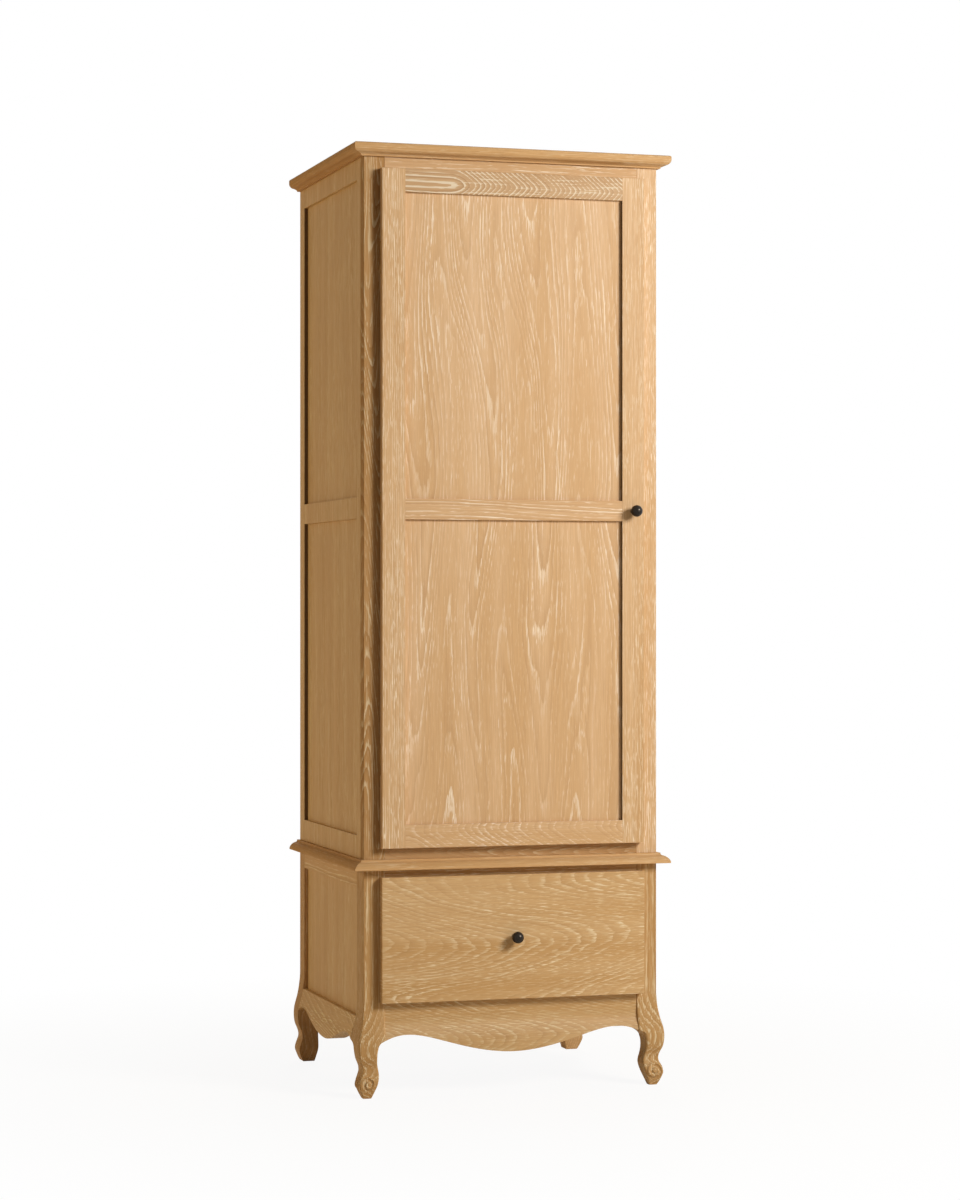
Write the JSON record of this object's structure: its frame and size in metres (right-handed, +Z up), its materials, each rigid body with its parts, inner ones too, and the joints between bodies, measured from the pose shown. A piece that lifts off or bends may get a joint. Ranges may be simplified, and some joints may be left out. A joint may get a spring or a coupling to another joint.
{
  "type": "single-door wardrobe",
  "caption": "Oak single-door wardrobe with framed panels, a drawer below, moulded cornice and waist, shaped aprons and swelling legs.",
  "frame": {"origin": "on the floor, in the middle of the whole piece's width and depth, knobs included", "axes": "+X to the right as one faces the door, +Y from the door to the back, +Z up"},
  "size_m": [0.685, 0.6108, 1.95],
  "materials": {
    "limed_oak": "limed, satin",
    "plain_oak": "plain, matt",
    "oak_plywood": "veneered board, matt",
    "dark_iron": "satin black",
    "hinge_metal": "antique",
    "rail_metal": "polished",
    "strike_steel": "zinc plated",
    "catch_plastic": "moulded"
  },
  "bodies": {
    "carcass": {"back_panel": "oak_plywood", "base_back_panel": "oak_plywood", "base_post_left": "limed_oak", "base_post_right": "limed_oak", "base_side_panel_left": "limed_oak", "base_side_panel_right": "limed_oak", "base_side_rail_left": "limed_oak", "base_side_rail_right": "limed_oak", "base_top_rail": "limed_oak", "cornice_front": "limed_oak", "cornice_left": "limed_oak", "cornice_right": "limed_oak", "door_catch": "catch_plastic", "drawer_runners": "plain_oak", "floor_board": "limed_oak", "frame_bottom_rail": "limed_oak", "frame_top_rail": "limed_oak", "front_apron": "limed_oak", "front_leg_left": "limed_oak", "front_leg_right": "limed_oak", "front_stile_left": "limed_oak", "front_stile_right": "limed_oak", "hanging_rail": "rail_metal", "hinge_frame_leaves": "hinge_metal", "hinge_pins": "hinge_metal", "rail_bearers": "plain_oak", "rail_sockets": "rail_metal", "rear_post_left": "limed_oak", "rear_post_right": "limed_oak", "side_apron_left": "limed_oak", "side_apron_right": "limed_oak", "side_front_stile_left": "limed_oak", "side_front_stile_right": "limed_oak", "side_lower_panel_left": "limed_oak", "side_lower_panel_right": "limed_oak", "side_rails_left": "limed_oak", "side_rails_right": "limed_oak", "side_rear_stile_left": "limed_oak", "side_rear_stile_right": "limed_oak", "side_upper_panel_left": "limed_oak", "side_upper_panel_right": "limed_oak", "top_board": "limed_oak", "waist_moulding_front": "limed_oak", "waist_moulding_left": "limed_oak", "waist_moulding_right": "limed_oak"},
    "door": {"door_stile_hinge": "limed_oak", "door_stile_lock": "limed_oak", "door_top_rail": "limed_oak", "door_mid_rail": "limed_oak", "door_bottom_rail": "limed_oak", "door_upper_panel": "limed_oak", "door_lower_panel": "limed_oak", "door_knob": "dark_iron", "hinge_door_leaves": "hinge_metal", "catch_strike": "strike_steel"},
    "drawer": {"drawer_front": "limed_oak", "drawer_sides": "plain_oak", "drawer_back": "plain_oak", "drawer_bottom": "oak_plywood", "drawer_knob": "dark_iron"}
  },
  "joints": [
    {"name": "door_hinge", "type": "hinge", "parent": "carcass", "child": "door", "pos_m": [-0.2809, -0.25712, 1.205], "axis": [0, 0, -1], "range_deg": [0, 95]},
    {"name": "drawer_slide", "type": "slide", "parent": "carcass", "child": "drawer", "axis": [0, -1, 0], "range_m": [0, 0.38]}
  ]
}
